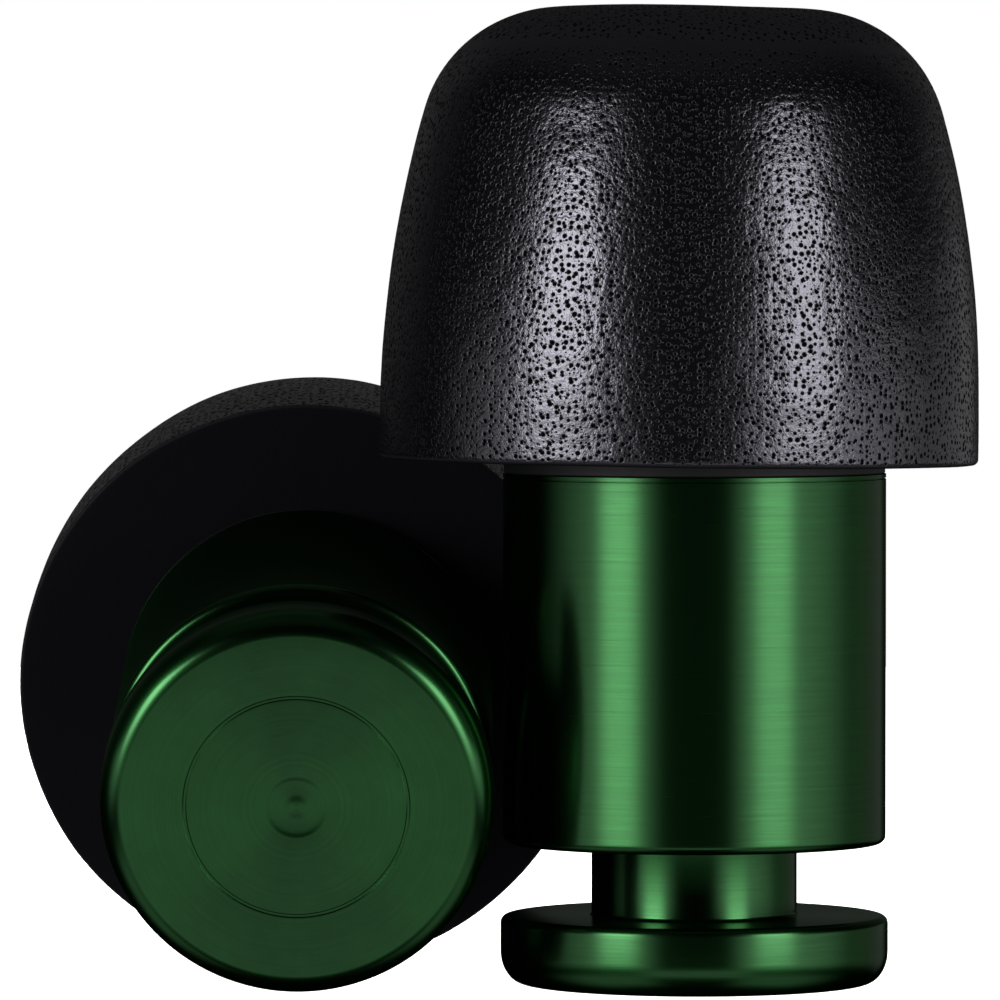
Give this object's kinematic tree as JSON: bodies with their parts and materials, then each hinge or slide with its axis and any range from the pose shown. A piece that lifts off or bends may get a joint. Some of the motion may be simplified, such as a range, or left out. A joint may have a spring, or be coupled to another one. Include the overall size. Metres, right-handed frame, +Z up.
{
  "type": "foam ear plugs",
  "caption": "Ear plugs with a turned aluminium core and a push-on memory foam tip; one stands on its flange and one lies beside it.",
  "frame": {"origin": "centre of the standing plug's flat flange face, on the surface it stands on", "axes": "+Z up along the standing plug's axis; +Y is the way the lying plug points, from its flange towards its foam; the lying plug is on the -X side"},
  "size_m": [0.0209, 0.0235, 0.0208],
  "materials": {
    "anodised_aluminium": "satin",
    "sleeve_rubber": "matte",
    "memory_foam": "matte"
  },
  "bodies": {
    "standing_plug": {"standing_core": "anodised_aluminium"},
    "standing_tip": {"standing_sleeve": "sleeve_rubber", "standing_foam": "memory_foam"},
    "lying_plug": {"lying_core": "anodised_aluminium"},
    "lying_tip": {"lying_sleeve": "sleeve_rubber", "lying_foam": "memory_foam"}
  },
  "joints": [
    {"name": "standing_tip_pull", "type": "slide", "parent": "standing_plug", "child": "standing_tip", "axis": [0, 0, 1], "range_m": [0, 0.012]},
    {"name": "lying_plug_away", "type": "slide", "parent": "standing_plug", "child": "lying_plug", "axis": [-1, 0, 0], "range_m": [0, 0.02]},
    {"name": "lying_tip_pull", "type": "slide", "parent": "lying_plug", "child": "lying_tip", "axis": [0, 0.9848, 0.1736], "range_m": [0, 0.012]}
  ]
}
